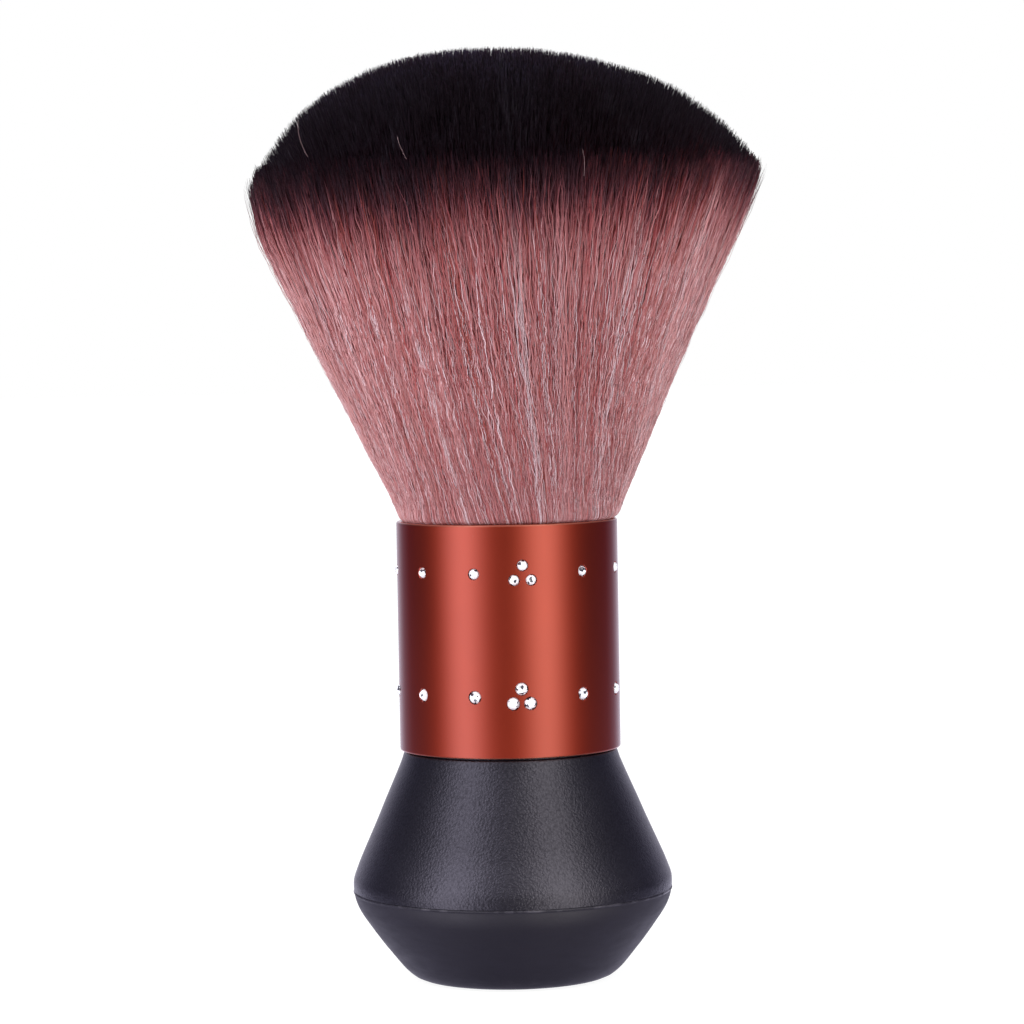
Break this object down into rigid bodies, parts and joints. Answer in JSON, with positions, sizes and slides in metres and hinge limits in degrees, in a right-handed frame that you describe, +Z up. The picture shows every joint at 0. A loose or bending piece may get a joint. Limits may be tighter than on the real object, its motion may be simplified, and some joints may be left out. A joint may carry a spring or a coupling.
{
  "type": "neck duster brush",
  "caption": "Barber's neck duster: soft domed filament tuft flaring from a stone-set anodised metal ferrule on a bell-shaped hollow base that stands on its flat foot.",
  "frame": {"origin": "centre of the flat foot, in the plane the brush stands on", "axes": "+Z runs up the brush's axis from the foot to the top of the tuft; -Y is the front, the side that shows a cluster of three stones in each row, and +X is to the right of it"},
  "size_m": [0.0862, 0.0864, 0.1576],
  "materials": {
    "bristle": "matte",
    "ferrule": "satin",
    "stones": "polished",
    "base_upper": "satin",
    "base_lower": "matte",
    "inner_plastic": "matte",
    "glue": "gloss",
    "thread": "matte"
  },
  "bodies": {
    "root": {"base_lower_cup": "base_lower", "base_upper_shell": "base_upper", "ferrule": "ferrule", "tuft_cup": "inner_plastic", "root_glue_plug": "glue", "root_binding": "thread", "bristle_tuft": "bristle", "gem_upper_01": "stones", "gem_upper_02": "stones", "gem_upper_03": "stones", "gem_upper_04": "stones", "gem_upper_05": "stones", "gem_upper_06": "stones", "gem_upper_07": "stones", "gem_upper_08": "stones", "gem_upper_09": "stones", "gem_upper_10": "stones", "gem_upper_11": "stones", "gem_upper_12": "stones", "gem_upper_13": "stones", "gem_upper_14": "stones", "gem_upper_15": "stones", "gem_lower_01": "stones", "gem_lower_02": "stones", "gem_lower_03": "stones", "gem_lower_04": "stones", "gem_lower_05": "stones", "gem_lower_06": "stones", "gem_lower_07": "stones", "gem_lower_08": "stones", "gem_lower_09": "stones", "gem_lower_10": "stones", "gem_lower_11": "stones", "gem_lower_12": "stones", "gem_lower_13": "stones", "gem_lower_14": "stones", "gem_lower_15": "stones"}
  },
  "joints": []
}
